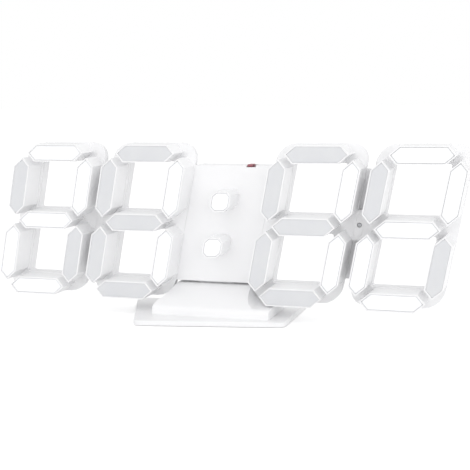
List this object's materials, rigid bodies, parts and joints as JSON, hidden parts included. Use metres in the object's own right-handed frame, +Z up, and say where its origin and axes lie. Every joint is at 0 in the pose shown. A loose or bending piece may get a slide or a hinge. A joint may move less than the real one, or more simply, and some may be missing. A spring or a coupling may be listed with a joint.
{
  "type": "led digital wall clock",
  "caption": "White LED digital wall clock: slanted open-frame digits with raised light cups, a recessed centre panel with a colon, and a swivelling desk stand.",
  "frame": {"origin": "on the table under the display face, halfway between the two middle digits, at the underside of the grip pad", "axes": "+X to the right along the row of digits, +Y from the display face to the back, +Z up"},
  "size_m": [0.2426, 0.0688, 0.0867],
  "materials": {
    "white_shell": "satin white",
    "white_cover": "fine matt white",
    "unlit_lens": "milky diffuser, unlit",
    "lit_lens": "milky diffuser, lit",
    "circuit_board": "white solder mask",
    "sensor_resin": "dark clear resin",
    "black_plastic": "black moulding",
    "grey_plastic": "grey button plastic",
    "red_plastic": "red knob plastic",
    "nickel_steel": "nickel plated steel",
    "pad_rubber": "pale silicone"
  },
  "bodies": {
    "clock": {"digit_1_front_frame": "white_shell", "digit_1_top_lens": "lit_lens", "digit_1_upper_left_lens": "unlit_lens", "digit_1_upper_right_lens": "lit_lens", "digit_1_middle_lens": "lit_lens", "digit_1_lower_left_lens": "lit_lens", "digit_1_lower_right_lens": "unlit_lens", "digit_1_bottom_lens": "lit_lens", "digit_2_front_frame": "white_shell", "digit_2_top_lens": "unlit_lens", "digit_2_upper_left_lens": "unlit_lens", "digit_2_upper_right_lens": "lit_lens", "digit_2_middle_lens": "unlit_lens", "digit_2_lower_left_lens": "unlit_lens", "digit_2_lower_right_lens": "lit_lens", "digit_2_bottom_lens": "unlit_lens", "digit_3_front_frame": "white_shell", "digit_3_top_lens": "unlit_lens", "digit_3_upper_left_lens": "unlit_lens", "digit_3_upper_right_lens": "lit_lens", "digit_3_middle_lens": "unlit_lens", "digit_3_lower_left_lens": "unlit_lens", "digit_3_lower_right_lens": "lit_lens", "digit_3_bottom_lens": "unlit_lens", "digit_4_front_frame": "white_shell", "digit_4_top_lens": "lit_lens", "digit_4_upper_left_lens": "unlit_lens", "digit_4_upper_right_lens": "lit_lens", "digit_4_middle_lens": "lit_lens", "digit_4_lower_left_lens": "lit_lens", "digit_4_lower_right_lens": "unlit_lens", "digit_4_bottom_lens": "lit_lens", "upper_colon_lens": "lit_lens", "lower_colon_lens": "lit_lens", "centre_panel": "white_shell", "rear_cover_left": "white_cover", "rear_cover_right": "white_cover", "centre_rear_case": "white_cover", "left_led_board": "circuit_board", "right_led_board": "circuit_board", "main_board": "circuit_board", "light_sensor": "sensor_resin", "coin_cell_holder": "black_plastic", "coin_cell": "nickel_steel", "alarm_switch_body": "black_plastic", "power_socket": "nickel_steel", "buzzer": "black_plastic", "stand_neck": "white_shell", "foot_pivot_screw": "nickel_steel", "case_screw_1": "nickel_steel", "case_screw_2": "nickel_steel", "case_screw_3": "nickel_steel", "case_screw_4": "nickel_steel"},
    "set_button": {"set_button": "grey_plastic"},
    "up_button": {"up_button": "grey_plastic"},
    "down_button": {"down_button": "grey_plastic"},
    "alarm_slider": {"alarm_slider": "red_plastic"},
    "battery_cap": {"battery_cap": "white_cover"},
    "foot": {"stand_foot": "white_shell", "foot_grip_pad": "pad_rubber"}
  },
  "joints": [
    {"name": "set_button_press", "type": "slide", "parent": "clock", "child": "set_button", "axis": [0, -1, 0], "range_m": [0, 0.0005], "stiffness_N_per_m": 2400},
    {"name": "up_button_press", "type": "slide", "parent": "clock", "child": "up_button", "axis": [0, -1, 0], "range_m": [0, 0.0005], "stiffness_N_per_m": 2400},
    {"name": "down_button_press", "type": "slide", "parent": "clock", "child": "down_button", "axis": [0, -1, 0], "range_m": [0, 0.0005], "stiffness_N_per_m": 2400},
    {"name": "alarm_slide", "type": "slide", "parent": "clock", "child": "alarm_slider", "axis": [1, 0, 0], "range_m": [0, 0.0018]},
    {"name": "battery_cap_turn", "type": "hinge", "parent": "clock", "child": "battery_cap", "pos_m": [-0.0026, 0.0272, 0.0339], "axis": [0, 1, 0], "range_deg": [0, 45]},
    {"name": "foot_swivel", "type": "hinge", "parent": "clock", "child": "foot", "pos_m": [-0.0032, 0.004, 0], "axis": [0, 0, 1], "range_deg": [-25.5, 4.5]}
  ]
}
